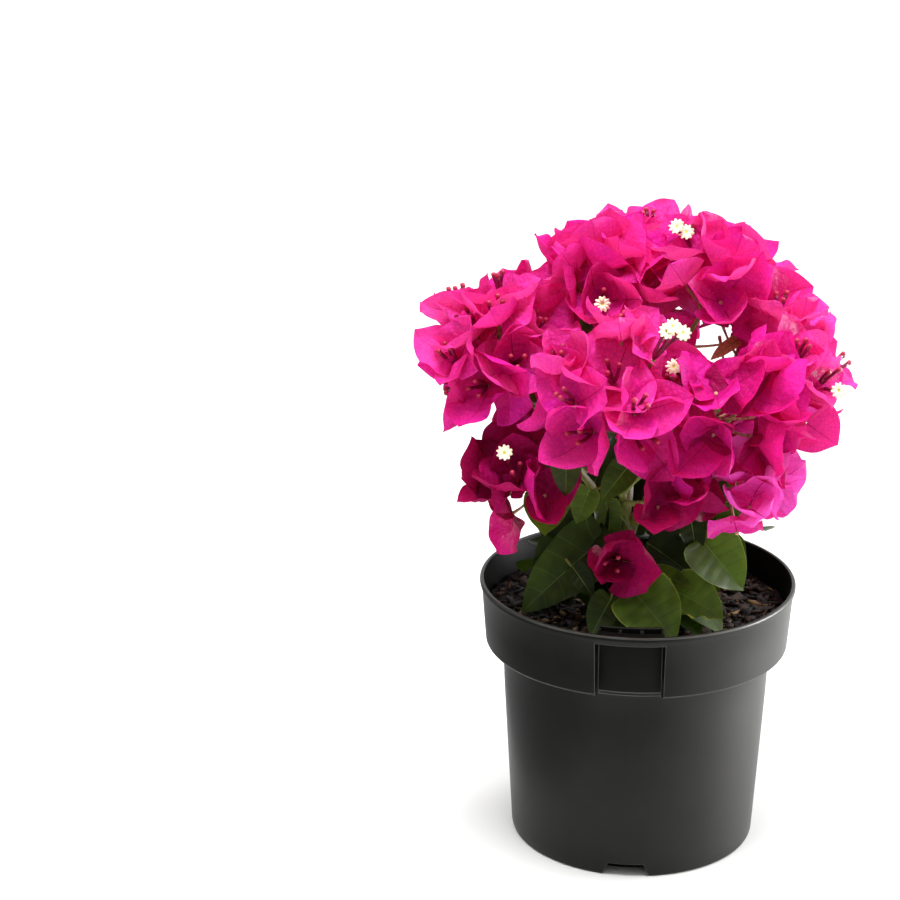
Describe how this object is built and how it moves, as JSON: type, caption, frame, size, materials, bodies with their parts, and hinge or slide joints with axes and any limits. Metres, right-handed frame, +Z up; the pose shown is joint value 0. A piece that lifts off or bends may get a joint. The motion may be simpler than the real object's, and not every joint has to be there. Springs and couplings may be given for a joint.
{
  "type": "potted bougainvillea bush",
  "caption": "Bushy bougainvillea in flower, a domed crown of papery magenta bracts over green leaves, in a dark round nursery pot of bark potting mix.",
  "frame": {"origin": "middle of the pot's flat underside", "axes": "+Z up the plant, -Y towards the front, where the pot's label recess is"},
  "size_m": [0.2748, 0.2537, 0.4098],
  "materials": {
    "pot": "moulded polypropylene, charcoal black, satin",
    "potting_mix": "moist composted bark, dark brown, rough",
    "bark": "young bark, olive brown, matte",
    "green_wood": "green shoots turning brown, satin",
    "bracts": "papery magenta bracts, thin and veined",
    "leaves": "dark green leaves, waxy, with paler veins"
  },
  "bodies": {
    "root": {"pot": "pot", "potting_mix": "potting_mix", "main_stem": "bark", "bough_top_back": "green_wood", "bough_left": "green_wood", "bough_right": "green_wood", "bough_middle_left": "green_wood", "bough_back_left": "green_wood", "bough_back_right": "green_wood", "bough_top_left": "green_wood", "bough_top_right": "green_wood", "bough_middle_right": "green_wood", "bough_low_left": "green_wood", "bough_low_middle": "green_wood", "bough_low_right": "green_wood", "bough_low_front": "green_wood", "bough_back_middle": "green_wood", "bough_back_low_left": "green_wood", "bough_back_low_right": "green_wood", "flowers_top_back": "bracts", "flowers_left": "bracts", "flowers_right": "bracts", "flowers_middle_left": "bracts", "flowers_back_left": "bracts", "flowers_back_right": "bracts", "flowers_top_left": "bracts", "flowers_top_right": "bracts", "flowers_middle_right": "bracts", "flowers_low_left": "bracts", "flowers_low_middle": "bracts", "flowers_low_right": "bracts", "flowers_low_front": "bracts", "flowers_back_middle": "bracts", "flowers_back_low_left": "bracts", "flowers_back_low_right": "bracts", "leaves_left": "leaves", "leaves_front": "leaves", "leaves_right": "leaves", "leaves_back": "leaves"}
  },
  "joints": []
}
